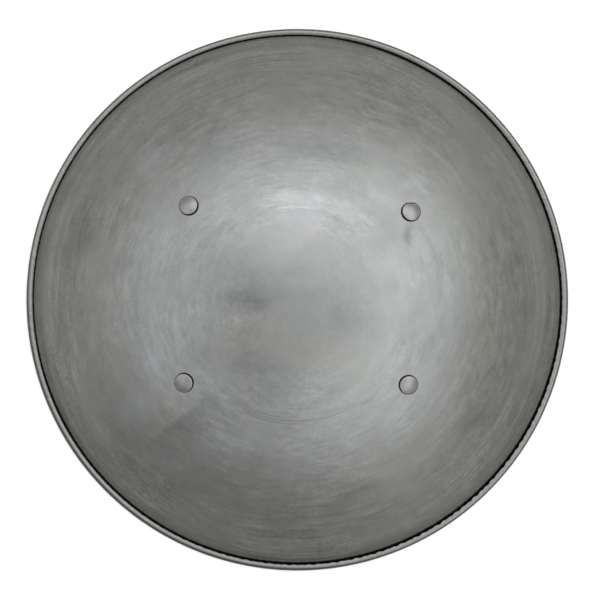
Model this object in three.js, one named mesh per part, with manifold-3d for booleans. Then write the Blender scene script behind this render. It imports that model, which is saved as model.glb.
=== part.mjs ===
// A round buckler: a domed steel shell with a rolled rim, and two leather straps riveted behind it.
// Millimetres. The shield lies face up: its rim rests on Z = 0, +Z points out of its face,
// and +Y points to its upper edge as it is carried. The origin is the middle of the rim.
import * as THREE from "three";
import { mergeVertices } from "three/addons/utils/BufferGeometryUtils.js";
import Module from "manifold-3d";

// Shell, pressed from one sheet, with its edge rolled forwards into a hollow bead.
const OUTER_DIAMETER = 400;
const HEIGHT = 68;
const SHEET = 1.2;
const BEAD_RADIUS = 2.5;
const BEAD_END = THREE.MathUtils.degToRad(124); // where the raw edge stops, round the bead from its outside
const BEAD_LAND = THREE.MathUtils.degToRad(12); // half the arc that is flattened where the rim rests
const SHELL_SIDES = 84;
const DOME_STEPS = 10;
const BEAD_STEPS = { inside: 8, overTop: 6, downSide: 4, underRim: 2 };

// Rivets, with a low drum of a head in front and a hammered tail behind.
const HEAD_RADIUS = 6.8;
const HEAD_WALL = 1.5;
const HEAD_CHAMFER = 0.4;
const HEAD_CROWN = 0.9; // rise of the crown above the chamfer
const SHANK_RADIUS = 2.4;
const TAIL_RADIUS = 4.8;
const TAIL_HEIGHT = 1.9;
const CROWN_FULLNESS = 0.6; // how far out a crown stays level, as a share of its radius
const CROWN_STEPS = 3;
const RIVET_SIDES = 16;
const HOLE_LENGTH = 40; // long enough to cut through shell and strap

// Straps, cut from one hide: a foot against the shell at each end, and a loop for hand or arm between.
const STRAP_WIDTH = 32;
const STRAP_THICKNESS = 3.4;
const STRAP_TIP = 15; // from a rivet to the strap's end
const STRAP_FOOT = 12; // from a rivet to where the loop leaves the shell
const LOOP_RISE = 38; // length of strap line over which a loop leaves the shell
const LOOP_STEPS = 9;
const TIP_CORNER = 11; // radius of the cut corners at a strap's end
const TIP_STEPS = 4;

// Clearances: between pieces that touch, and for the flat strap against the hollow shell.
const TOUCH = 0.3;
const STRAP_SEAT = 1.0;
const WELD = 1e-4; // points closer than this are one point

// Where the rivets go through the face, and how far each loop stands off the shell.
const STRAPS = [
  { name: "hand", upper: [-77.4, 67.1], lower: [-80.8, -59.2], side: "left", loop: 38 },
  { name: "arm", upper: [81.2, 62.8], lower: [79.4, -60.7], side: "right", loop: 42 },
];

// The dome is part of a ball. Its slope at the rim follows from the width and the height,
// because the bead's middle lies on a ball about the same centre.
const beadMiddle = new THREE.Vector2(OUTER_DIAMETER / 2 - BEAD_RADIUS, BEAD_RADIUS * Math.cos(BEAD_LAND));
const beadInner = BEAD_RADIUS - SHEET;
const rimSlope = 2 * Math.atan((HEIGHT + beadInner - beadMiddle.y) / beadMiddle.x);
const faceRadius = beadMiddle.x / Math.sin(rimSlope) - beadInner;
const backRadius = faceRadius - SHEET;
const ballCentre = new THREE.Vector3(0, 0, HEIGHT - faceRadius);

const steel = new THREE.MeshStandardMaterial({ color: 0x8f918f, roughness: 0.4, metalness: 1 });
const rivetSteel = new THREE.MeshStandardMaterial({ color: 0x9a9c9b, roughness: 0.35, metalness: 1 });
const leather = new THREE.MeshStandardMaterial({ color: 0x4a2f1d, roughness: 0.65, metalness: 0 });

const wasm = await Module();
wasm.setup();

// A closed three.js geometry as a solid that can be cut and joined.
function solidOf(geometry) {
  const bare = new THREE.BufferGeometry();
  const loose = geometry.index ? geometry.toNonIndexed() : geometry;
  bare.setAttribute("position", loose.getAttribute("position"));
  const merged = mergeVertices(bare, WELD);
  const triVerts = new Uint32Array(merged.index.array);
  return new wasm.Manifold(
    new wasm.Mesh({ numProp: 3, vertProperties: merged.attributes.position.array, triVerts }),
  );
}

// A solid as a three.js geometry again.
function geometryOf(solid) {
  const { vertProperties, triVerts } = solid.getMesh();
  const geometry = new THREE.BufferGeometry();
  geometry.setAttribute("position", new THREE.BufferAttribute(vertProperties, 3));
  geometry.setIndex(new THREE.BufferAttribute(triVerts, 1));
  geometry.computeVertexNormals();
  return geometry;
}

function named(name, geometry, material) {
  const mesh = new THREE.Mesh(geometry, material);
  mesh.name = name;
  return mesh;
}

// A profile of (radius, height) points turned about Z.
function turned(profile, sides) {
  return new THREE.LatheGeometry(profile, sides).rotateX(Math.PI / 2);
}

// Points along an arc from one angle to another, both ends included.
function arc(middle, radius, from, to, steps) {
  return Array.from({ length: steps + 1 }, (_, i) => {
    const angle = from + ((to - from) * i) / steps;
    return new THREE.Vector2(middle.x + radius * Math.cos(angle), middle.y + radius * Math.sin(angle));
  });
}

// A pin along a rivet's line, through shell and strap, wide enough to leave the shank free.
function rivetHole() {
  const radius = SHANK_RADIUS + TOUCH;
  return new THREE.CylinderGeometry(radius, radius, HOLE_LENGTH, RIVET_SIDES).rotateX(Math.PI / 2);
}

// The sheet in section: over the face, into the bead, round the raw edge, and back under the dome.
function shellProfile() {
  const axis = new THREE.Vector2(ballCentre.x, ballCentre.z);
  const top = Math.PI / 2;
  const rim = top - rimSlope;
  const beadStart = rim - Math.PI;
  const landStart = -Math.PI / 2 - BEAD_LAND;
  const landEnd = -Math.PI / 2 + BEAD_LAND;
  const profile = [
    ...arc(axis, faceRadius, top, rim, DOME_STEPS),
    ...arc(beadMiddle, beadInner, beadStart, BEAD_END, BEAD_STEPS.inside).slice(1),
    ...arc(beadMiddle, BEAD_RADIUS, BEAD_END, 0, BEAD_STEPS.overTop),
    ...arc(beadMiddle, BEAD_RADIUS, 0, landEnd, BEAD_STEPS.downSide).slice(1),
    ...arc(beadMiddle, BEAD_RADIUS, landStart, beadStart, BEAD_STEPS.underRim),
    ...arc(axis, backRadius, rim, top, DOME_STEPS).slice(1),
  ];
  profile[0].x = 0;
  profile.at(-1).x = 0;
  return profile.reverse();
}

// The whole shell, with a hole for each rivet.
function shell(holes) {
  let solid = solidOf(turned(shellProfile(), SHELL_SIDES));
  for (const hole of holes) solid = solid.subtract(solidOf(hole));
  return named("shield_shell", geometryOf(solid), steel);
}

// A low crown in section, from its edge to the axis.
function crown(radius, edgeHeight, topHeight) {
  return new THREE.QuadraticBezierCurve(
    new THREE.Vector2(radius, edgeHeight),
    new THREE.Vector2(CROWN_FULLNESS * radius, topHeight),
    new THREE.Vector2(0, topHeight),
  ).getPoints(CROWN_STEPS);
}

// A rivet on its own line: Z = 0 is the shell's face, the head stands in front and the tail behind the strap.
function rivet(name) {
  const wallTop = TOUCH + HEAD_WALL;
  const crownFoot = wallTop + HEAD_CHAMFER;
  const tailTop = -(SHEET + STRAP_SEAT + STRAP_THICKNESS + TOUCH);
  const profile = [
    ...crown(TAIL_RADIUS, tailTop, tailTop - TAIL_HEIGHT).reverse(),
    new THREE.Vector2(SHANK_RADIUS, tailTop),
    new THREE.Vector2(SHANK_RADIUS, TOUCH),
    new THREE.Vector2(HEAD_RADIUS, TOUCH),
    new THREE.Vector2(HEAD_RADIUS, wallTop),
    ...crown(HEAD_RADIUS - HEAD_CHAMFER, crownFoot, crownFoot + HEAD_CROWN),
  ];
  return named(name, turned(profile, RIVET_SIDES), rivetSteel);
}

// How far a loop stands off the shell, at a distance along the strap from its middle.
function loopDepth(along, loopHalf, loop) {
  const share = THREE.MathUtils.clamp((loopHalf - Math.abs(along)) / LOOP_RISE, 0, 1);
  return loop * THREE.MathUtils.smoothstep(share, 0, 1);
}

// The strap seen from its edge, as (along, out) points: the line of its middle, half a thickness either way.
function strapEdgeShape(rivetAlong, loop) {
  const seatRadius = backRadius - STRAP_SEAT - STRAP_THICKNESS / 2;
  const loopHalf = rivetAlong - STRAP_FOOT;
  const tip = rivetAlong + STRAP_TIP;
  const rise = Array.from({ length: LOOP_STEPS + 1 }, (_, i) => loopHalf - (LOOP_RISE * i) / LOOP_STEPS);
  const half = [tip, rivetAlong, ...rise.filter((along) => along > 0), 0];
  const stations = [...half, ...half.slice(0, -1).reverse().map((along) => -along)];
  const line = stations.map((along) => {
    const out = Math.sqrt(seatRadius ** 2 - along ** 2) - loopDepth(along, loopHalf, loop);
    return new THREE.Vector2(along, out);
  });
  const across = line.map((_, i) => {
    const before = line[Math.max(i - 1, 0)];
    const after = line[Math.min(i + 1, line.length - 1)];
    const run = after.clone().sub(before).normalize();
    return new THREE.Vector2(run.y, -run.x).multiplyScalar(STRAP_THICKNESS / 2);
  });
  const outer = line.map((point, i) => point.clone().add(across[i]));
  const inner = line.map((point, i) => point.clone().sub(across[i]));
  return new THREE.Shape([...outer, ...inner.reverse()]);
}

// The strap seen flat, as (across, along) points: straight sides and rounded corners at the ends.
function strapFlatShape(rivetAlong) {
  const x = STRAP_WIDTH / 2;
  const y = rivetAlong + STRAP_TIP;
  const shape = new THREE.Shape();
  shape.absarc(x - TIP_CORNER, y - TIP_CORNER, TIP_CORNER, 0, Math.PI / 2);
  shape.absarc(-x + TIP_CORNER, y - TIP_CORNER, TIP_CORNER, Math.PI / 2, Math.PI);
  shape.absarc(-x + TIP_CORNER, -y + TIP_CORNER, TIP_CORNER, Math.PI, 1.5 * Math.PI);
  shape.absarc(x - TIP_CORNER, -y + TIP_CORNER, TIP_CORNER, 1.5 * Math.PI, 2 * Math.PI);
  return shape;
}

// A strap about the ball's centre: X across it, Y along it, Z out through the shell.
function strap(name, rivetTurn, loop) {
  const rivetAlong = backRadius * Math.sin(rivetTurn);
  const bent = new THREE.ExtrudeGeometry(strapEdgeShape(rivetAlong, loop), {
    depth: STRAP_WIDTH,
    bevelEnabled: false,
  });
  bent.translate(0, 0, -STRAP_WIDTH / 2);
  bent.applyMatrix4(new THREE.Matrix4().makeBasis(
    new THREE.Vector3(0, 1, 0),
    new THREE.Vector3(0, 0, 1),
    new THREE.Vector3(1, 0, 0),
  ));
  const flat = new THREE.ExtrudeGeometry(strapFlatShape(rivetAlong), {
    depth: backRadius,
    bevelEnabled: false,
    curveSegments: TIP_STEPS,
  });
  let solid = solidOf(bent).intersect(solidOf(flat));
  for (const turn of [-rivetTurn, rivetTurn]) {
    const hole = rivetHole().translate(0, 0, faceRadius).rotateX(turn);
    solid = solid.subtract(solidOf(hole));
  }
  return named(name, geometryOf(solid), leather);
}

// The point of the shell's face above a place in the plane of the rim, from the ball's centre.
function onFace([x, y]) {
  return new THREE.Vector3(x, y, Math.sqrt(faceRadius ** 2 - x ** 2 - y ** 2));
}

// A strap with its two rivets, in a group at the ball's centre that is turned to face the strap's middle.
function rivetedStrap({ name, upper, lower, side, loop }) {
  const ends = { upper: onFace(upper), lower: onFace(lower) };
  const out = ends.upper.clone().add(ends.lower).normalize();
  const along = ends.upper.clone().sub(ends.lower).normalize();
  const across = along.clone().cross(out);
  const rivetTurn = ends.upper.angleTo(ends.lower) / 2;
  const group = new THREE.Group();
  group.position.copy(ballCentre);
  group.quaternion.setFromRotationMatrix(new THREE.Matrix4().makeBasis(across, along, out));
  group.add(strap(name + "_strap", rivetTurn, loop));
  const holes = [];
  for (const [end, turn] of [["upper", -rivetTurn], ["lower", rivetTurn]]) {
    const line = new THREE.Group();
    line.rotation.x = turn;
    const onLine = rivet("rivet_" + end + "_" + side);
    onLine.position.z = faceRadius;
    line.add(onLine);
    group.add(line);
    group.updateMatrixWorld(true);
    holes.push(rivetHole().applyMatrix4(onLine.matrixWorld));
  }
  return { group, holes };
}

const fittings = STRAPS.map(rivetedStrap);
const buckler = new THREE.Group();
buckler.name = "buckler";
buckler.add(shell(fittings.flatMap(({ holes }) => holes)));
for (const { group } of fittings) buckler.add(group);

export default buckler;
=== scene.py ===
import math

import bmesh
import bpy
from mathutils import Matrix, Vector


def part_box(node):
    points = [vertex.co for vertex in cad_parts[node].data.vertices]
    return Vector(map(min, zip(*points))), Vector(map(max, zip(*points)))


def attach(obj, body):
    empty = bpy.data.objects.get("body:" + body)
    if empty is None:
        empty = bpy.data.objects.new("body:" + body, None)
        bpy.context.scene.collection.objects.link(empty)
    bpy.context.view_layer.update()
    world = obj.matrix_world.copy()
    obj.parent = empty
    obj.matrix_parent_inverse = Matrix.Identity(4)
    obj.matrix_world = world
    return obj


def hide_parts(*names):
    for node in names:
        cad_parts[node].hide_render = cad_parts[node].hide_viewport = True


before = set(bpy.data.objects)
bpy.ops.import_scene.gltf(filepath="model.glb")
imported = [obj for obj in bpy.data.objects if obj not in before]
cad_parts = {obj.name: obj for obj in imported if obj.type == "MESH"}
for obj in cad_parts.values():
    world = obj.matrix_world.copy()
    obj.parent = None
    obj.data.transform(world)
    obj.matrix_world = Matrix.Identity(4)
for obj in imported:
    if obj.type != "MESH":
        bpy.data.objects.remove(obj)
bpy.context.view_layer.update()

# Shell
# The shell is one disc of mild steel sheet, dished into a shallow dome, with its edge rolled forwards
# into a hollow bead. The cut edge stops just short of the dome, so a dark slit runs round the face.
# To the lower right the bead was closed with pliers, and there the cut edge waves in and out.
shell_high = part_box("shield_shell")[1]
sheet = 0.0012
bead_radius = 0.0025
bead_end = math.radians(150)
round_steps = 720
dome_steps = 24
bead_steps = 24
first_step = math.radians(0.3)  # half the angle of the small cap that the dome is drawn out from
hair = 0.00001  # keeps the sheet just inside the solid that it replaces
edge_round = 0.00015
sharp_corner = math.radians(50)
rivet_places = {
    "upper_left": (-0.0774, 0.0671),
    "lower_left": (-0.0808, -0.0592),
    "upper_right": (0.0812, 0.0628),
    "lower_right": (0.0794, -0.0607),
}
hole_radius = 0.0025
hole_steps = 48
head_radius = 0.0068
filed_rivet = "upper_right"
filed_flat = 0.0058
bead_middle = shell_high.x - bead_radius
bead_inner = bead_radius - sheet
rim_slope = 2 * math.atan((shell_high.z + bead_inner - bead_radius) / bead_middle)
face_radius = bead_middle / math.sin(rim_slope) - bead_inner
ball_height = shell_high.z - face_radius
ball_centre = Vector((0, 0, ball_height))


def start_piece(name):
    """Names the primitive that was just added, and puts its place into its mesh."""
    piece = bpy.context.object
    piece.name = name
    piece.data.name = name
    bpy.ops.object.transform_apply(location=True, rotation=True, scale=True)
    return piece


def apply_modifier(piece, kind, **settings):
    """Adds a modifier with these settings and applies it."""
    modifier = piece.modifiers.new(kind.lower(), kind)
    for setting, value in settings.items():
        setattr(modifier, setting, value)
    bpy.ops.object.modifier_apply(modifier=modifier.name)


def draw_out(profile, extrude):
    """Extrudes the selected ring or disc through (radius, height) steps, from the first one on."""
    for (radius, height), (next_radius, next_height) in zip(profile, profile[1:]):
        extrude(TRANSFORM_OT_translate={"value": (0, 0, next_height - height)})
        spread = next_radius / radius
        bpy.ops.transform.resize(value=(spread, spread, 1), center_override=(0, 0, 0))


def spaced(start, end, steps):
    """Evenly spaced numbers, with both ends."""
    return [start + (end - start) * i / steps for i in range(steps + 1)]


slopes = spaced(first_step, rim_slope, dome_steps)
rolls = spaced(-math.pi / 2 - rim_slope, bead_end, bead_steps)
dome = [(face_radius * math.sin(a), ball_height + face_radius * math.cos(a)) for a in slopes]
bead = [(bead_middle + bead_inner * math.cos(a), bead_radius + bead_inner * math.sin(a)) for a in rolls]
bpy.ops.object.select_all(action="DESELECT")
bpy.ops.mesh.primitive_circle_add(
    vertices=round_steps, radius=dome[0][0], fill_type="TRIFAN", location=(0, 0, dome[0][1]),
)
shell = start_piece("domed_shell")
bpy.ops.object.mode_set(mode="EDIT")
bpy.ops.mesh.select_mode(type="EDGE")
bpy.ops.mesh.select_non_manifold(extend=False, use_wire=False, use_multi_face=False)
draw_out(dome + bead[1:], bpy.ops.mesh.extrude_edges_move)
bpy.ops.mesh.select_all(action="SELECT")
bpy.ops.mesh.normals_make_consistent(inside=True)
bpy.ops.object.mode_set(mode="OBJECT")

# The bead as it was rolled by hand: tightest to the upper left, and nipped by pliers to the lower right.
tightest_towards = math.radians(120)
loosest_roll = 1.03
tightest_roll = 0.92
closing_turn = math.radians(10)
nipped_towards = math.radians(-55)
nip_turn = math.radians(42)
plain_share = 0.2
nips_round = (211, 137)
nip_swings = (0.3, 0.2)
nip_lag = 1.0
free_from = math.radians(40)
bead_reach = 1.5 * bead_inner  # what is further than this from the middle of the bead is dome
for vertex in shell.data.vertices:
    x, y, z = vertex.co
    out = math.hypot(x, y) - bead_middle
    up = z - bead_radius
    if math.hypot(out, up) > bead_reach:
        continue
    around = math.atan2(y, x)
    turn = math.atan2(up, out)
    nipping = (0.5 + 0.5 * math.cos(around - nipped_towards)) ** 3
    nipped_share = plain_share + (1 - plain_share) * nipping
    nip = 0.5 + nip_swings[0] * math.sin(nips_round[0] * around)
    nip += nip_swings[1] * math.sin(nips_round[1] * around + nip_lag)
    share = max(turn - free_from, 0) / (bead_end - free_from)
    turn += share * (closing_turn - nipped_share * nip * nip_turn)
    tight = max(math.cos(around - tightest_towards), 0) ** 2
    roll_radius = bead_radius * (loosest_roll + (tightest_roll - loosest_roll) * tight)
    inner_radius = roll_radius - sheet
    from_axis = shell_high.x - roll_radius + inner_radius * math.cos(turn)
    height = roll_radius + inner_radius * math.sin(turn)
    vertex.co = (from_axis * math.cos(around), from_axis * math.sin(around), height)

# Slots for the face, the hollow and the bead: the wall that gets its thickness here takes the second one.
for _ in range(3):
    shell.data.materials.append(None)
apply_modifier(
    shell, "SOLIDIFY", thickness=sheet - hair, offset=-1, use_even_offset=True, material_offset=1,
)
apply_modifier(
    shell, "BEVEL", width=edge_round, segments=2, limit_method="ANGLE", angle_limit=sharp_corner,
)


def on_ball(place, radius):
    """From the dome's centre to the point of a ball about it that is above a place in the rim's plane."""
    return Vector((*place, math.sqrt(radius ** 2 - place[0] ** 2 - place[1] ** 2)))


def square_to_dome(place):
    """The turn from upright to square to the dome, above a place in the rim's plane."""
    return Vector((0, 0, 1)).rotation_difference(on_ball(place, face_radius))


def drill(piece, place):
    """Drills a rivet hole through a piece, square to the dome."""
    bpy.ops.object.select_all(action="DESELECT")
    bpy.ops.mesh.primitive_cylinder_add(
        vertices=hole_steps, radius=hole_radius, depth=10 * hole_radius,
        location=ball_centre + on_ball(place, face_radius), rotation=square_to_dome(place).to_euler(),
    )
    drill_bit = bpy.context.object
    bpy.context.view_layer.objects.active = piece
    piece.select_set(True)
    apply_modifier(piece, "BOOLEAN", operation="DIFFERENCE", solver="EXACT", object=drill_bit)
    bpy.data.objects.remove(drill_bit)


for place in rivet_places.values():
    drill(shell, place)
bpy.ops.object.shade_smooth_by_angle(angle=math.radians(45))


def start_finish(name):
    """A new material, the tree that its nodes go in, and its shader."""
    material = bpy.data.materials.new(name)
    material.use_nodes = True
    tree = material.node_tree
    return material, tree, tree.nodes["Principled BSDF"]


def feed(tree, socket, given):
    """Links a socket to another one, or sets it to a plain value."""
    if isinstance(given, bpy.types.NodeSocket):
        tree.links.new(given, socket)
    else:
        socket.default_value = given


def reckon(tree, operation, *given, clamp=False):
    """A sum on numbers that vary over the surface."""
    node = tree.nodes.new("ShaderNodeMath")
    node.operation = operation
    node.use_clamp = clamp
    for socket, value in zip(node.inputs, given):
        feed(tree, socket, value)
    return node.outputs[0]


def reckon_place(tree, operation, *given):
    """A sum on places. It gives a number for a length or a dot product, and otherwise a place."""
    node = tree.nodes.new("ShaderNodeVectorMath")
    node.operation = operation
    for socket, value in zip(node.inputs, given):
        feed(tree, socket, value)
    return node.outputs["Value" if operation in ("LENGTH", "DOT_PRODUCT") else "Vector"]


def fade(tree, value, start, end, low=0.0, high=1.0):
    """A number that goes smoothly from low to high while value goes from start to end."""
    node = tree.nodes.new("ShaderNodeMapRange")
    node.interpolation_type = "SMOOTHSTEP"
    for socket, given in zip(node.inputs, (value, start, end, low, high)):
        feed(tree, socket, given)
    return node.outputs[0]


def clouds(tree, place, scale, detail=2.0, roughness=0.5):
    """Soft noise about a half, between nought and one."""
    node = tree.nodes.new("ShaderNodeTexNoise")
    settings = {"Vector": place, "Scale": scale, "Detail": detail, "Roughness": roughness}
    for name, given in settings.items():
        feed(tree, node.inputs[name], given)
    return node.outputs[0]


def mix_colour(tree, share, one, other, blend="MIX"):
    """One colour laid over another by a share."""
    node = tree.nodes.new("ShaderNodeMix")
    node.data_type = "RGBA"
    node.blend_type = blend
    feed(tree, node.inputs[0], share)
    feed(tree, node.inputs[6], one)
    feed(tree, node.inputs[7], other)
    return node.outputs[2]


def times(tree, colour, number):
    """A colour made lighter or darker by a number."""
    node = tree.nodes.new("ShaderNodeVectorMath")
    node.operation = "SCALE"
    feed(tree, node.inputs[0], colour)
    feed(tree, node.inputs["Scale"], number)
    return node.outputs["Vector"]


def polar(tree):
    """The place on the piece, its distance from the shield's axis, and its direction from the axis."""
    place = tree.nodes.new("ShaderNodeTexCoord").outputs["Object"]
    level = reckon_place(tree, "MULTIPLY", place, (1, 1, 0))
    return place, reckon_place(tree, "LENGTH", level), reckon_place(tree, "NORMALIZE", level)


def strokes(tree, place, from_axis, direction, per_radian, across, wander):
    """Noise drawn out along circles about the axis, as a hand with an abrasive pad leaves it: how many
    strokes to a radian, how broad each is, and how far it wanders off its circle."""
    off_circle = reckon(tree, "SUBTRACT", clouds(tree, place, 14.0, 1.0), 0.5)
    drift = reckon(tree, "MULTIPLY", off_circle, wander)
    ring = reckon(tree, "DIVIDE", reckon(tree, "ADD", from_axis, drift), across)
    combine = tree.nodes.new("ShaderNodeCombineXYZ")
    feed(tree, combine.inputs["Z"], ring)
    spread = reckon_place(tree, "MULTIPLY", direction, (per_radian,) * 3)
    return clouds(tree, reckon_place(tree, "ADD", spread, combine.outputs[0]), 1.0)


def about_one(tree, noise, swing):
    """Noise as a factor about one."""
    return reckon(tree, "ADD", 1.0 - 0.5 * swing, reckon(tree, "MULTIPLY", noise, swing))


def lighten(tree, tone, share, by):
    """A tone made lighter by a share of an amount, or darker where that is below nought."""
    return reckon(tree, "MULTIPLY", tone, reckon(tree, "ADD", 1.0, reckon(tree, "MULTIPLY", share, by)))


def bump(tree, shader, height, distance, strength=1.0):
    """Raises the surface by a height map that is distance deep."""
    node = tree.nodes.new("ShaderNodeBump")
    feed(tree, node.inputs["Strength"], strength)
    feed(tree, node.inputs["Distance"], distance)
    feed(tree, node.inputs["Height"], height)
    feed(tree, shader.inputs["Normal"], node.outputs[0])


def oval(tree, place, middle, reach, turn=0.0, core=0.0):
    """One inside the core of an oval about its middle, falling to nought at its reach."""
    mapping = tree.nodes.new("ShaderNodeMapping")
    mapping.vector_type = "TEXTURE"
    mapping.inputs["Location"].default_value = (*middle, 0)
    mapping.inputs["Rotation"].default_value = (0, 0, math.radians(turn))
    mapping.inputs["Scale"].default_value = (*reach, 1)
    feed(tree, mapping.inputs["Vector"], place)
    level = reckon_place(tree, "MULTIPLY", mapping.outputs[0], (1, 1, 0))
    return fade(tree, reckon_place(tree, "LENGTH", level), 1.0, core)


def arc(tree, from_axis, direction, radius, half_width, towards, half_angle):
    """One along an arc about the shield's axis, falling to nought at its half width and at its ends."""
    off = reckon(tree, "ABSOLUTE", reckon(tree, "SUBTRACT", from_axis, radius))
    middle = (math.cos(math.radians(towards)), math.sin(math.radians(towards)), 0)
    near = reckon_place(tree, "DOT_PRODUCT", direction, middle)
    ends = fade(tree, near, math.cos(math.radians(half_angle)), math.cos(math.radians(0.4 * half_angle)))
    return reckon(tree, "MULTIPLY", fade(tree, off, half_width, 0.3 * half_width), ends)


# Patches of the face painted lighter, darker or warmer: some are stains and rubs, and some are painted
# highlights, shade and reflections. Middle and reach in millimetres, turn in degrees, how much lighter,
# how much warmer.
face_patches = (
    # The first two patches are a painted dark reflection to the left of the middle.
    ((-36, 1), (32, 12), 0, -0.20, 0.0),
    ((-24, -2), (12, 7), 0, -0.12, 0.0),
    ((-38, -14), (30, 8), 0, 0.10, 0.02),
    ((-50, 0), (20, 50), 0, 0.12, 0.0),
    ((-28, -28), (36, 26), 0, 0.08, 0.04),
    ((-44, -34), (9, 9), 0, 0.08, 0.0),
    ((-20, -55), (16, 7), 0, 0.09, 0.0),
    ((18, -40), (32, 24), 0, 0.02, 0.03),
    ((29, -12), (16, 13), 0, -0.07, 0.0),
    ((-42, -48), (13, 9), 0, -0.06, 0.0),
    ((4, 13), (20, 10), 0, 0.11, 0.0),
    ((10, 46), (5, 12), 0, 0.03, 0.04),
    ((6, 58), (38, 9), 0, 0.04, -0.04),
    ((60, 18), (10, 20), 0, 0.0, -0.03),
    ((62, 42), (18, 18), 0, -0.12, 0.0),
    ((78, 48), (7, 11), 0, -0.20, 0.0),
    ((79, 43), (9, 11), 0, -0.18, 0.0),
    ((80, 76), (7, 5), 0, -0.12, 0.0),
    ((58, 76), (26, 9), -38, 0.11, 0.0),
    ((44, 69), (16, 6), -25, 0.10, 0.0),
    ((75, 81), (8, 6), 0, 0.09, 0.0),
    ((67, 12), (7, 16), 0, -0.08, 0.0),
    ((88, 84), (15, 12), -40, 0.11, 0.0),
    ((-58, 66), (22, 13), 40, 0.12, 0.0),
    ((15, 107), (60, 14), -8, -0.17, 0.0),
    ((61, 116), (13, 7), -30, -0.10, 0.0),
    ((-36, 142), (32, 9), 14, 0.11, 0.0),
    ((-54, 158), (22, 8), 19, -0.08, 0.0),
    ((70, 167), (26, 8), -22, -0.10, 0.0),
    ((110, 91), (15, 14), 0, 0.07, 0.03),
    ((-108, 102), (18, 36), -38, 0.20, -0.04),
    ((-121, 75), (10, 12), 0, 0.18, 0.0),
    ((-156, 48), (16, 38), -17, -0.24, -0.03),
    ((-150, 72), (9, 14), -25, -0.10, 0.0),
    ((-127, 26), (14, 14), 0, -0.08, 0.0),
    ((-14, 97), (22, 8), 0, -0.09, 0.0),
    ((-76, 27), (13, 14), 0, -0.07, -0.03),
    ((-90, -62), (13, 13), 0, 0.12, 0.0),
    ((-94, -79), (6, 12), 35, -0.10, 0.0),
    ((-64, -33), (7, 18), 0, -0.09, 0.0),
    ((-105, -42), (15, 24), 15, 0.13, -0.03),
    ((-142, -38), (9, 18), 15, -0.10, 0.0),
    ((-118, -78), (26, 22), 35, 0.16, -0.04),
    ((-92, -118), (24, 12), -30, 0.08, -0.03),
    ((-48, -103), (38, 12), -10, 0.14, -0.03),
    ((18, -108), (16, 9), 0, -0.10, 0.0),
    ((10, -126), (30, 14), 0, -0.09, 0.0),
    ((44, -138), (34, 13), 20, -0.18, 0.0),
    ((70, -84), (22, 13), 45, 0.12, 0.0),
    ((98, -32), (10, 20), 0, -0.08, 0.0),
    ((128, -84), (14, 30), -30, -0.20, 0.0),
    ((125, -73), (8, 10), 0, -0.10, 0.0),
    ((150, 35), (14, 13), 0, 0.08, 0.0),
    ((136, -20), (20, 34), 0, 0.0, 0.05),
)
# Arcs about the axis: the narrow ones are scratches and rubs, the first two are a painted highlight above
# the middle, and the broad ones near the rim make the face lighter or darker there. Radius and half width
# in millimetres, the way to the arc's middle and half its angle in degrees, how much lighter, how much
# warmer.
face_arcs = (
    (73.0, 9.0, 82, 40, 0.16, -0.02),
    (66.0, 1.3, 92, 18, 0.16, -0.01),
    (69.2, 1.0, 126, 16, -0.08, 0.0),
    (74.0, 4.0, 134, 7, -0.08, 0.0),
    (84.3, 0.8, 252, 16, -0.16, 0.0),
    (86.5, 0.8, 270, 36, -0.18, 0.0),
    (88.6, 0.8, 258, 18, -0.18, 0.0),
    (85.2, 3.0, 240, 6, -0.10, 0.0),
    (77.6, 0.8, 271, 8, -0.09, 0.0),
    (84.5, 1.6, 290, 9, -0.07, 0.0),
    (88.0, 2.0, 306, 7, -0.09, 0.0),
    (107.0, 1.4, 296, 8, -0.08, 0.0),
    (104.5, 1.0, 297, 8, 0.05, 0.0),
    (178.0, 6.0, 2, 26, 0.12, 0.0),
    (179.0, 6.0, 97, 12, -0.10, 0.0),
    (184.0, 6.0, 174, 22, 0.12, 0.0),
    (172.0, 10.0, 207, 16, 0.13, 0.0),
    (168.0, 14.0, 250, 14, 0.12, 0.0),
    (157.0, 6.0, 276, 10, -0.10, 0.0),
    (176.0, 8.0, 309, 12, 0.11, 0.0),
)
millimetre = 0.001
face_steel = 0.248
smooth_to = 0.035
brushed_from = 0.080
polished_to = 0.058
satin_from = 0.084
polish = 0.24
satin = 0.34
rim_strokes_from = 0.150
rim_strokes_full = 0.185
cool_to = 0.10
warm_from = 0.18
coolest = -0.032
warmest = 0.024
# Near black, for oil and for painted shade.
dark_oil_and_shade = (0.012, 0.011, 0.010, 1)
rim_shade_from = 0.1835
rim_shade_to = 0.1875
slit_shade_from = 0.1937
slit_shade_to = 0.1946
head_shade_reach = 0.0074
flat_shade_from = 0.0007
flat_shade_to = 0.0011


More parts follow.
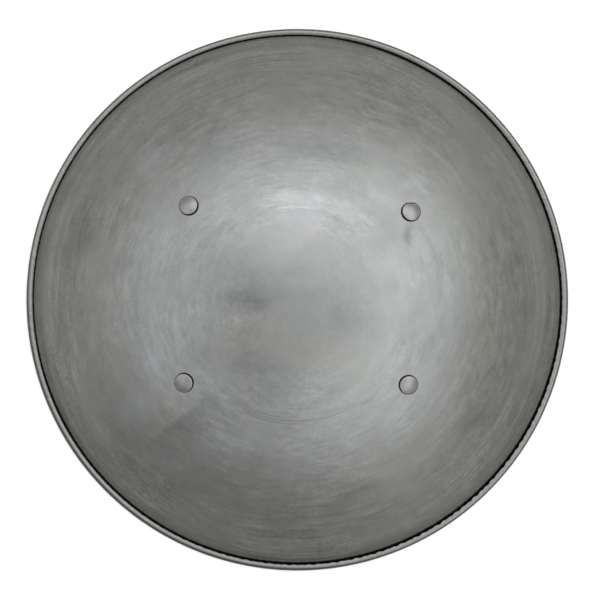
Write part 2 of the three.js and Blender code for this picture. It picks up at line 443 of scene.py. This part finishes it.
def brushed_face():
    """Steel brushed by hand round and round and oiled. It is smoother in the middle, and has stains, rubs
    and scratches, painted highlights and reflections, a ring of painted shade inside the bead, painted
    shade in the slit of the bead, and painted shade with dirt round the rivets."""
    material, tree, shader = start_finish("brushed_face")
    place, from_axis, direction = polar(tree)
    uneven = reckon(tree, "SUBTRACT", clouds(tree, place, 18.0, 2.0), 0.5)
    from_middle = reckon(tree, "ADD", from_axis, reckon(tree, "MULTIPLY", uneven, 0.05))
    patchy = fade(tree, clouds(tree, place, 22.0, 2.0), 0.35, 0.65, 0.4, 1.3)
    brushed = reckon(tree, "MULTIPLY", fade(tree, from_middle, smooth_to, brushed_from, 0.45, 1.0), patchy)
    near_rim = reckon(tree, "MULTIPLY", fade(tree, from_axis, rim_strokes_from, rim_strokes_full), patchy)
    long_strokes = strokes(tree, place, from_axis, direction, 5.0, 0.0009, 0.008)
    short_strokes = strokes(tree, place, from_axis, direction, 60.0, 0.0012, 0.024)
    smears = strokes(tree, place, from_axis, direction, 13.0, 0.003, 0.012)
    broad_strokes = strokes(tree, place, from_axis, direction, 3.0, 0.007, 0.016)
    rim_strokes = strokes(tree, place, from_axis, direction, 1.5, 0.0013, 0.003)
    layers = (
        (long_strokes, 0.30, brushed),
        (short_strokes, 0.30, brushed),
        (smears, 0.38, brushed),
        (broad_strokes, 0.32, brushed),
        (rim_strokes, 0.70, near_rim),
        (short_strokes, 0.22, near_rim),
    )
    tone = about_one(tree, clouds(tree, place, 30.0, 3.0), 0.16)
    tone = reckon(tree, "MULTIPLY", tone, about_one(tree, clouds(tree, place, 90.0, 4.0, 0.65), 0.24))
    for pattern, swing, where in layers:
        off_middle = reckon(tree, "MULTIPLY", reckon(tree, "SUBTRACT", pattern, 0.5), swing)
        tone = lighten(tree, tone, off_middle, where)
    # Painted shade: a ring of the face just inside the bead is painted darker.
    tone = reckon(tree, "MULTIPLY", tone, fade(tree, from_axis, rim_shade_from, rim_shade_to, 1.0, 0.87))
    warmth = fade(tree, from_axis, cool_to, warm_from, coolest, warmest)
    warmth = reckon(tree, "ADD", warmth, reckon(tree, "MULTIPLY", clouds(tree, place, 34.0, 2.0), 0.05))
    waver = reckon(tree, "SUBTRACT", clouds(tree, place, 60.0, 3.0), 0.5)
    wavering = reckon_place(tree, "ADD", place, times(tree, (0.022, 0.008, 0.0), waver))
    inexact = reckon(tree, "ADD", from_axis, reckon(tree, "MULTIPLY", uneven, 0.003))
    marks = []
    for middle, reach, turn, lighter, warmer in face_patches:
        middle = [millimetre * side for side in middle]
        reach = [millimetre * side for side in reach]
        marks.append((oval(tree, wavering, middle, reach, turn), lighter, warmer))
    for radius, half_width, towards, half_angle, lighter, warmer in face_arcs:
        band = arc(
            tree, inexact, direction, millimetre * radius, millimetre * half_width, towards, half_angle,
        )
        marks.append((band, lighter, warmer))
    for share, lighter, warmer in marks:
        tone = lighten(tree, tone, share, lighter)
        if warmer:
            warmth = reckon(tree, "ADD", warmth, reckon(tree, "MULTIPLY", share, warmer))

    # At the lower left a painted reflection: the face is painted a little lighter on one side of a plain
    # edge and darker below it.
    edge_middle = (-0.0865, -0.0845, 0.0)
    edge_reach = (0.042, 0.034)
    edge_turn = 39
    below = (0.628, -0.778, 0.0)
    from_edge = reckon_place(tree, "SUBTRACT", place, edge_middle)
    past_edge = reckon_place(tree, "DOT_PRODUCT", from_edge, below)
    painted_reflection_step = fade(tree, past_edge, -0.001, 0.004, 0.06, -0.22)
    tone = lighten(tree, tone, oval(tree, place, edge_middle[:2], edge_reach, edge_turn), painted_reflection_step)

    tint = tree.nodes.new("ShaderNodeCombineXYZ")
    feed(tree, tint.inputs["X"], reckon(tree, "ADD", 0.975, reckon(tree, "MULTIPLY", warmth, 0.4)))
    tint.inputs["Y"].default_value = 1.0
    feed(tree, tint.inputs["Z"], reckon(tree, "SUBTRACT", 0.977, warmth))
    steel = times(tree, times(tree, tint.outputs[0], tone), face_steel)

    # Painted shade darkens the slit, least of all to the upper left, and painted shade with dirt rings the
    # rivet heads.
    upper_left = (-0.707, 0.707, 0.0)
    shade_moved_out = fade(tree, reckon_place(tree, "DOT_PRODUCT", direction, upper_left), 0.3, 0.75, 0.0, 0.0009)
    ragged = reckon(tree, "MULTIPLY", clouds(tree, place, 700.0, 2.0), 0.0012)
    into_slit = reckon(tree, "ADD", reckon(tree, "SUBTRACT", from_axis, shade_moved_out), ragged)
    shade_and_dirt = fade(tree, into_slit, slit_shade_from, slit_shade_to)
    split = tree.nodes.new("ShaderNodeSeparateXYZ")
    feed(tree, split.inputs[0], place)
    # Painted shade with some dirt rings each rivet head; at the filed rivet it stops below the flat.
    for corner, middle in rivet_places.items():
        round_head = oval(tree, place, middle, (head_shade_reach, head_shade_reach), core=0.93)
        if corner == filed_rivet:
            flat = middle[1] + filed_flat
            below_flat = fade(tree, split.outputs["Y"], flat + flat_shade_to, flat + flat_shade_from)
            round_head = reckon(tree, "MINIMUM", round_head, below_flat)
        shade_and_dirt = reckon(tree, "MAXIMUM", shade_and_dirt, round_head)
    feed(tree, shader.inputs["Base Color"], mix_colour(tree, shade_and_dirt, steel, dark_oil_and_shade))
    shader.inputs["Metallic"].default_value = 1.0
    rough = fade(tree, from_middle, polished_to, satin_from, polish, satin)
    smeared = reckon(tree, "SUBTRACT", smears, 0.5)
    rough = reckon(tree, "ADD", rough, reckon(tree, "MULTIPLY", smeared, 0.12))
    rough = reckon(tree, "ADD", rough, reckon(tree, "MULTIPLY", shade_and_dirt, 0.3))
    feed(tree, shader.inputs["Roughness"], rough)
    bump(tree, shader, reckon(tree, "MULTIPLY", long_strokes, brushed), 0.00002)
    return material


def plain_inside():
    """The hollow of the shell: the same steel, duller, and left as the pressing tool made it."""
    material, tree, shader = start_finish("plain_inside")
    place, from_axis, direction = polar(tree)
    rings = strokes(tree, place, from_axis, direction, 1.5, 0.004, 0.004)
    cloudy = clouds(tree, place, 16.0, 4.0)
    tone = reckon(tree, "MULTIPLY", about_one(tree, rings, 0.2), about_one(tree, cloudy, 0.35))
    dull_steel = (0.2, 0.198, 0.19)
    feed(tree, shader.inputs["Base Color"], times(tree, dull_steel, tone))
    shader.inputs["Metallic"].default_value = 1.0
    rough = reckon(tree, "ADD", 0.38, reckon(tree, "MULTIPLY", cloudy, 0.2))
    feed(tree, shader.inputs["Roughness"], rough)
    bump(tree, shader, rings, 0.00003)
    return material


bead_shade_from = 0.0005
bead_shade_to = 0.0016
flank_light_from = -0.0008
flank_light_to = -0.0020
bites_per_radian = 230.0
bite_slant = 4.0


def rolled_bead():
    """The bead, with short slanting marks of pliers across it, painted lighter on its inner flank as
    painted light, and painted darker on its outer side and towards the lower left as painted shade.
    """
    material, tree, shader = start_finish("rolled_bead")
    place, from_axis, direction = polar(tree)
    along = strokes(tree, place, from_axis, direction, 4.0, 0.0005, 0.001)
    slant = tree.nodes.new("ShaderNodeVectorRotate")
    slant.rotation_type = "Z_AXIS"
    feed(tree, slant.inputs["Vector"], direction)
    off_middle = reckon(tree, "SUBTRACT", from_axis, bead_middle)
    feed(tree, slant.inputs["Angle"], reckon(tree, "MULTIPLY", off_middle, bite_slant))
    spread = reckon_place(tree, "MULTIPLY", slant.outputs[0], (bites_per_radian, bites_per_radian, 0.0))
    bites = clouds(tree, spread, 1.0, 5.0, 0.7)
    worked = fade(tree, clouds(tree, place, 12.0, 1.0), 0.40, 0.62, 0.6, 1.0)
    bite = reckon(tree, "MULTIPLY", reckon(tree, "SUBTRACT", bites, 0.5), worked)
    tone = lighten(tree, about_one(tree, along, 0.4), bite, 2.0)
    # Painted shade: the outer side of the bead is painted darker, further in and more so towards the lower
    # left.
    lower_left = (-0.6, -0.8, 0.0)
    facing_there = reckon_place(tree, "DOT_PRODUCT", direction, lower_left)
    outwards = reckon(tree, "ADD", off_middle, fade(tree, facing_there, 0.2, 0.95, 0.0, 0.0009))
    tone = reckon(tree, "MULTIPLY", tone, fade(tree, outwards, bead_shade_from, bead_shade_to, 1.0, 0.45))
    tone = reckon(tree, "MULTIPLY", tone, fade(tree, facing_there, 0.2, 0.95, 1.0, 0.85))
    # Painted light: the inner flank of the bead is painted lighter, against the shade of its curve.
    flank_painted_light = fade(tree, off_middle, flank_light_from, flank_light_to, 1.0, 2.2)
    tone = reckon(tree, "MULTIPLY", tone, flank_painted_light)
    rubbed_steel = (0.232, 0.234, 0.226)
    feed(tree, shader.inputs["Base Color"], times(tree, rubbed_steel, tone))
    shader.inputs["Metallic"].default_value = 1.0
    shader.inputs["Roughness"].default_value = 0.36
    bump(tree, shader, bite, 0.0001)
    return material


for slot, finish in enumerate((brushed_face(), plain_inside(), rolled_bead())):
    shell.data.materials[slot] = finish
bead_skin = 1.1 * bead_radius
for facet in shell.data.polygons:
    x, y, z = facet.center
    off_bead = math.hypot(math.hypot(x, y) - bead_middle, z - bead_radius)
    if facet.material_index == 1 and off_bead < bead_skin:
        facet.material_index = 2
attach(shell, "root")
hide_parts("shield_shell")

# Rivets
# Four steel rivets hold the straps. Each has a low drum of a head on the face, a shank through sheet and
# leather, and a tail hammered down behind. Painted shade with oil darkens the foot of each head and rings
# it on the face, and a painted highlight lightens its rubbed shoulder.
head_wall = 0.0008
head_taper = 0.0001
head_round = 0.0008
head_crown = 0.0008
shank_radius = 0.0024
tail_radius = 0.0048
tail_height = 0.0019
strap_thickness = 0.0034
strap_seat = 0.0010
touch = 0.0001
rivet_steps = 64
filed_from = 0.0042
filed_slope = 0.8
filed_away = 0.98


def select_faces(piece, test):
    """In edit mode, selects only the faces that pass a test."""
    mesh = bmesh.from_edit_mesh(piece.data)
    for face in mesh.faces:
        face.select_set(test(face))
    bmesh.update_edit_mesh(piece.data)


def crown(radius, foot, rise, steps=7, last_share=0.05):
    """Steps of (radius, height) over a low crown, from its edge to just short of its middle."""
    shares = [math.cos(math.pi / 2 * i / steps) for i in range(steps)] + [last_share]
    return [(radius * share, foot + rise * (1 - share ** 2)) for share in shares]


def round_over(radius, foot, size, steps=6):
    """Steps of (radius, height) round a quarter circle, from an upright wall to a level top."""
    corners = [math.pi / 2 * i / steps for i in range(steps + 1)]
    return [(radius - size + size * math.cos(a), foot + size * math.sin(a)) for a in corners]


bpy.ops.object.select_all(action="DESELECT")
bpy.ops.mesh.primitive_cylinder_add(
    vertices=rivet_steps, radius=head_radius, depth=head_wall, location=(0, 0, touch + head_wall / 2),
)
rivet = start_piece("rivet")
bpy.ops.object.mode_set(mode="EDIT")
bpy.ops.mesh.select_mode(type="FACE")
wall_top = touch + head_wall
head_top = wall_top + head_round + head_crown
select_faces(rivet, lambda face: face.normal.z > 0.9)
top_radius = head_radius - head_taper
taper = top_radius / head_radius
bpy.ops.transform.resize(value=(taper, taper, 1), center_override=(0, 0, 0))
draw_out(
    round_over(top_radius, wall_top, head_round)
    + crown(top_radius - head_round, wall_top + head_round, head_crown)[1:],
    bpy.ops.mesh.extrude_region_move,
)
select_faces(rivet, lambda face: face.normal.z < -0.9)
tail_top = -(sheet + strap_seat + strap_thickness + touch)
draw_out(
    [(head_radius, touch), (shank_radius, touch), (shank_radius, tail_top), (tail_radius, tail_top)]
    + [(r, 2 * tail_top - z) for r, z in crown(tail_radius, tail_top, tail_height)[1:]],
    bpy.ops.mesh.extrude_region_move,
)
bpy.ops.mesh.select_all(action="SELECT")
bpy.ops.mesh.normals_make_consistent(inside=False)
bpy.ops.object.mode_set(mode="OBJECT")
bpy.ops.object.shade_smooth_by_angle(angle=math.radians(40))

# Where the foot of the rivet is painted dark, as painted shade with oil, at minus one, and where its
# rubbed shoulder gets a painted highlight, at one.
shaded_foot_to = wall_top + 0.2 * head_round
sheen_from = wall_top + 0.4 * head_round
sheen_to = wall_top + 0.9 * head_round
shade_and_sheen = rivet.data.attributes.new("shade_and_sheen", "FLOAT", "POINT")
for vertex in rivet.data.vertices:
    height = vertex.co.z
    if -sheet < height < shaded_foot_to:
        shade_and_sheen.data[vertex.index].value = -1.0
    elif sheen_from < height < sheen_to:
        shade_and_sheen.data[vertex.index].value = 1.0


def worn_shaded_rivet():
    """Rivet steel with pits, a painted highlight on its rubbed shoulder, and painted shade with oil round
    its foot.
    """
    material, tree, shader = start_finish("worn_shaded_rivet")
    place = tree.nodes.new("ShaderNodeTexCoord").outputs["Object"]
    cloudy = clouds(tree, place, 260.0, 3.0)
    scratches = clouds(tree, reckon_place(tree, "MULTIPLY", place, (1500.0, 400.0, 400.0)), 1.0, 2.0)
    pits = fade(tree, clouds(tree, place, 900.0, 1.0), 0.62, 0.72)
    tone = reckon(tree, "MULTIPLY", about_one(tree, cloudy, 0.35), about_one(tree, scratches, 0.25))
    tone = lighten(tree, tone, pits, -0.15)
    shade_and_sheen = tree.nodes.new("ShaderNodeAttribute")
    shade_and_sheen.attribute_name = "shade_and_sheen"
    # Painted highlight on the rubbed shoulder.
    tone = lighten(tree, tone, fade(tree, shade_and_sheen.outputs["Fac"], 0.0, 1.0), 0.25)
    # Painted shade, with oil, round the foot.
    shaded_foot = fade(tree, shade_and_sheen.outputs["Fac"], 0.0, -1.0)
    bright_steel = (0.252, 0.254, 0.249)
    steel = mix_colour(tree, shaded_foot, times(tree, bright_steel, tone), dark_oil_and_shade)
    feed(tree, shader.inputs["Base Color"], steel)
    shader.inputs["Metallic"].default_value = 1.0
    rough = reckon(tree, "ADD", 0.24, reckon(tree, "MULTIPLY", cloudy, 0.2))
    feed(tree, shader.inputs["Roughness"], rough)
    bump(tree, shader, cloudy, 0.0001)
    return material


rivet.data.materials.append(worn_shaded_rivet())
for corner, place in rivet_places.items():
    set_rivet = rivet.copy()
    set_rivet.data = rivet.data.copy()
    set_rivet.name = "set_rivet_" + corner
    bpy.context.scene.collection.objects.link(set_rivet)
    if corner == filed_rivet:
        for vertex in set_rivet.data.vertices:
            vertex.co.y -= filed_away * max(vertex.co.y - filed_flat, 0)
            chamfer = head_top - filed_slope * max(vertex.co.y - filed_from, 0)
            vertex.co.z -= filed_away * max(vertex.co.z - chamfer, 0)
    seat = Matrix.Translation(ball_centre + on_ball(place, face_radius))
    set_rivet.data.transform(seat @ square_to_dome(place).to_matrix().to_4x4())
    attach(set_rivet, "root")
    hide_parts("rivet_" + corner)
bpy.data.objects.remove(rivet)

# Straps
# Two straps of oiled leather, cut from one hide, lie against the hollow of the shell at each rivet and
# stand off it between: one is a loop to grip, the other a loop for the forearm.
strap_width = 0.032
strap_tip = 0.015
strap_foot = 0.012
loop_rise = 0.038
tip_corner = 0.011
strap_steps = 84
strap_strips = 8
strap_edge_round = 0.0008
strap_loops = {"hand": ("left", 0.038), "arm": ("right", 0.042)}
pale_brown = (0.15, 0.078, 0.036, 1)
dark_brown = (0.055, 0.026, 0.012, 1)
fibre_brown = (0.03, 0.014, 0.007, 1)
burnished_brown = (0.02, 0.010, 0.006, 1)
burnish_inset = 0.0022
burnish_full_inset = 0.0004
crease_inset = 0.0034


def tanned_leather(name, to_strap):
    """Oiled leather with a fine grain, creased along its edges and burnished dark on them."""
    material, tree, shader = start_finish(name)
    place = tree.nodes.new("ShaderNodeTexCoord").outputs["Object"]
    mapping = tree.nodes.new("ShaderNodeMapping")
    mapping.vector_type = "TEXTURE"
    mapping.inputs["Location"].default_value = to_strap.to_translation()
    mapping.inputs["Rotation"].default_value = to_strap.to_euler()
    feed(tree, mapping.inputs["Vector"], place)
    split = tree.nodes.new("ShaderNodeSeparateXYZ")
    feed(tree, split.inputs[0], mapping.outputs[0])
    from_middle = reckon(tree, "ABSOLUTE", split.outputs["X"])
    cells = tree.nodes.new("ShaderNodeTexVoronoi")
    cells.feature = "SMOOTH_F1"
    feed(tree, cells.inputs["Vector"], place)
    cells.inputs["Scale"].default_value = 900.0
    pores = cells.outputs["Distance"]
    cloudy = clouds(tree, place, 60.0, 4.0, 0.6)
    fibres = clouds(tree, place, 700.0, 3.0, 0.6)
    half = strap_width / 2
    edge = fade(tree, from_middle, half - burnish_inset, half - burnish_full_inset)
    off_crease = reckon(tree, "ABSOLUTE", reckon(tree, "SUBTRACT", from_middle, half - crease_inset))
    crease = fade(tree, off_crease, 0.0007, 0.0001)
    brown = mix_colour(tree, cloudy, dark_brown, pale_brown)
    brown = mix_colour(tree, reckon(tree, "MULTIPLY", fibres, 0.35), brown, fibre_brown)
    brown = mix_colour(tree, reckon(tree, "MULTIPLY", edge, 0.75), brown, burnished_brown)
    brown = mix_colour(tree, reckon(tree, "MULTIPLY", crease, 0.6), brown, burnished_brown)
    feed(tree, shader.inputs["Base Color"], brown)
    rough = reckon(tree, "ADD", 0.42, reckon(tree, "MULTIPLY", fibres, 0.3))
    rough = reckon(tree, "SUBTRACT", rough, reckon(tree, "MULTIPLY", edge, 0.15))
    feed(tree, shader.inputs["Roughness"], rough)
    pore_depth = reckon(tree, "MULTIPLY", pores, 0.5)
    grain = reckon(tree, "ADD", pore_depth, reckon(tree, "MULTIPLY", fibres, 0.6))
    grain = reckon(tree, "SUBTRACT", grain, reckon(tree, "MULTIPLY", crease, 1.6))
    bump(tree, shader, grain, 0.0003, 0.8)
    return material


def bent_strap(name, side, loop):
    """A strap bent along Y about the dome's centre, with X across it and
    Z out through the shell, and then turned to its place."""
    upper = on_ball(rivet_places["upper_" + side], face_radius)
    lower = on_ball(rivet_places["lower_" + side], face_radius)
    out = (upper + lower).normalized()
    along = (upper - lower).normalized()
    to_strap = Matrix((along.cross(out), along, out)).transposed().to_4x4()
    to_strap.translation = ball_centre
    seat = face_radius - sheet - strap_seat - strap_thickness / 2
    rivet_along = (face_radius - sheet) * math.sin(upper.angle(lower) / 2)
    end = rivet_along + strap_tip
    loop_half = rivet_along - strap_foot

    def line(y):
        share = min(max((loop_half - abs(y)) / loop_rise, 0), 1)
        return math.sqrt(seat ** 2 - y ** 2) - loop * share ** 2 * (3 - 2 * share)

    def width(y):
        into = min(end - abs(y), tip_corner)
        return strap_width - 2 * tip_corner + 2 * math.sqrt(tip_corner ** 2 - (tip_corner - into) ** 2)

    places = [-end * math.cos(math.pi * i / strap_steps) for i in range(strap_steps + 1)]
    bpy.ops.object.select_all(action="DESELECT")
    bpy.ops.mesh.primitive_plane_add(size=width(end), location=(0, -end + width(end) / 2, line(end)))
    strap = start_piece(name)
    bpy.ops.object.mode_set(mode="EDIT")
    bpy.ops.mesh.select_mode(type="VERT")
    mesh = bmesh.from_edit_mesh(strap.data)
    for vertex in mesh.verts:
        vertex.select_set(vertex.co.y > -end + width(end) / 2)
    bmesh.update_edit_mesh(strap.data)
    bpy.ops.mesh.delete(type="VERT")
    bpy.ops.mesh.select_all(action="SELECT")
    bpy.ops.mesh.subdivide(number_cuts=strap_strips - 1)
    for y, next_y in zip(places, places[1:]):
        step = (0, next_y - y, line(next_y) - line(y))
        bpy.ops.mesh.extrude_edges_move(TRANSFORM_OT_translate={"value": step})
        bpy.ops.transform.resize(value=(width(next_y) / width(y), 1, 1), center_override=(0, 0, 0))
    bpy.ops.mesh.select_all(action="SELECT")
    bpy.ops.mesh.normals_make_consistent(inside=False)
    bpy.ops.object.mode_set(mode="OBJECT")
    apply_modifier(strap, "SOLIDIFY", thickness=strap_thickness, offset=0, use_even_offset=True)
    apply_modifier(
        strap, "BEVEL", width=strap_edge_round, segments=3, limit_method="ANGLE", angle_limit=sharp_corner,
    )
    strap.data.transform(to_strap)
    drill(strap, rivet_places["upper_" + side])
    drill(strap, rivet_places["lower_" + side])
    bpy.ops.object.shade_smooth_by_angle(angle=math.radians(50))
    strap.data.materials.append(tanned_leather(name + "_leather", to_strap))
    return strap


for use, (side, loop) in strap_loops.items():
    strap = bent_strap(use + "_loop", side, loop)
    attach(strap, "root")
    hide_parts(use + "_strap")

# Floor
# The shield lies face up on a pale matt floor, which runs on past the picture on every side. The floor
# glows a little, so that it stays pale close to the rim.
floor_radius = 6.0
floor_sides = 96
floor_height = -0.0002
pale = (0.93, 0.93, 0.93, 1)
floor_glow = 0.2
bpy.ops.object.select_all(action="DESELECT")
bpy.ops.mesh.primitive_circle_add(
    vertices=floor_sides, radius=floor_radius, fill_type="NGON", location=(0, 0, floor_height),
)
floor = start_piece("studio_floor")
floor_paint, _, floor_shader = start_finish("pale_floor")
floor_shader.inputs["Base Color"].default_value = pale
floor_shader.inputs["Roughness"].default_value = 0.9
floor_shader.inputs["Specular IOR Level"].default_value = 0.1
floor_shader.inputs["Emission Color"].default_value = (1, 1, 1, 1)
floor_shader.inputs["Emission Strength"].default_value = floor_glow
floor.data.materials.append(floor_paint)

# Light
# A pale tent all round gives an even light. A ring of light stands round the camera, more light comes
# from the top of the picture, and five soft lamps give the dome its broad highlights.
world = bpy.data.worlds.new("studio")
bpy.context.scene.world = world
world.use_nodes = True
sky = world.node_tree
towards = sky.nodes.new("ShaderNodeTexCoord").outputs["Generated"]
height = sky.nodes.new("ShaderNodeSeparateXYZ")
feed(sky, height.inputs[0], towards)
tilt = reckon(sky, "ARCCOSINE", height.outputs["Z"])


def sky_way(azimuth, tilt):
    """The way to a point of the sky, from its angle about the shield's axis and its tilt, in degrees."""
    a = math.radians(azimuth)
    t = math.radians(tilt)
    return (math.sin(t) * math.cos(a), math.sin(t) * math.sin(a), math.cos(t))


tent_at_horizon = 0.60
tent_overhead = 0.37
ring_light = 0.91
ring_tilt = math.radians(38)
ring_reach = math.radians(21)
top_share = 0.31
top_azimuth = 83
level = 90
# Each soft lamp: azimuth, tilt, reach and core in degrees, and strength.
soft_lamps = (
    (41, 34, 28, 20, 0.53),
    (-2, 14, 41, 0, 0.87),
    (-55, 45, 34, 0, 0.56),
    (107, 25, 20, 0, 1.08),
    (178, 43, 32, 22, 0.34),
)
light = fade(sky, height.outputs["Z"], 0.0, 1.0, tent_at_horizon, tent_overhead)
off_ring = reckon(sky, "ABSOLUTE", reckon(sky, "SUBTRACT", tilt, ring_tilt))
light = reckon(sky, "ADD", light, fade(sky, off_ring, ring_reach, 0.0, 0.0, ring_light))
from_top = reckon_place(sky, "DOT_PRODUCT", towards, sky_way(top_azimuth, level))
light = lighten(sky, light, from_top, top_share)
for azimuth, lamp_tilt, reach, core, strength in soft_lamps:
    nearness = reckon_place(sky, "DOT_PRODUCT", towards, sky_way(azimuth, lamp_tilt))
    glow = fade(sky, nearness, math.cos(math.radians(reach)), math.cos(math.radians(core)), 0.0, strength)
    light = reckon(sky, "ADD", light, glow)
feed(sky, sky.nodes["Background"].inputs["Strength"], light)
sky.nodes["Background"].inputs["Color"].default_value = (1, 1, 1, 1)

# Camera
# The camera looks straight down on the shield from well above it. Its lens gives the shield the width
# that it has in the picture, and it stands a little aside, as the shield isn't quite in the middle there.
frame_pixels = 600
shield_pixels = 541.7
pixels_left_of_middle = 2.73
pixels_above_middle = 0.26
camera_height = 1.5
sensor_width = 36.0
metres_per_pixel = 2 * shell_high.x / shield_pixels
camera_x = pixels_left_of_middle * metres_per_pixel
camera_y = -pixels_above_middle * metres_per_pixel
camera_data = bpy.data.cameras.new("camera")
camera_data.sensor_width = sensor_width
camera_data.lens = sensor_width * (camera_height - bead_radius) / (frame_pixels * metres_per_pixel)
camera = bpy.data.objects.new("camera", camera_data)
camera.location = (camera_x, camera_y, camera_height)
bpy.context.scene.collection.objects.link(camera)
bpy.context.scene.camera = camera
bpy.context.scene.view_settings.view_transform = "Standard"
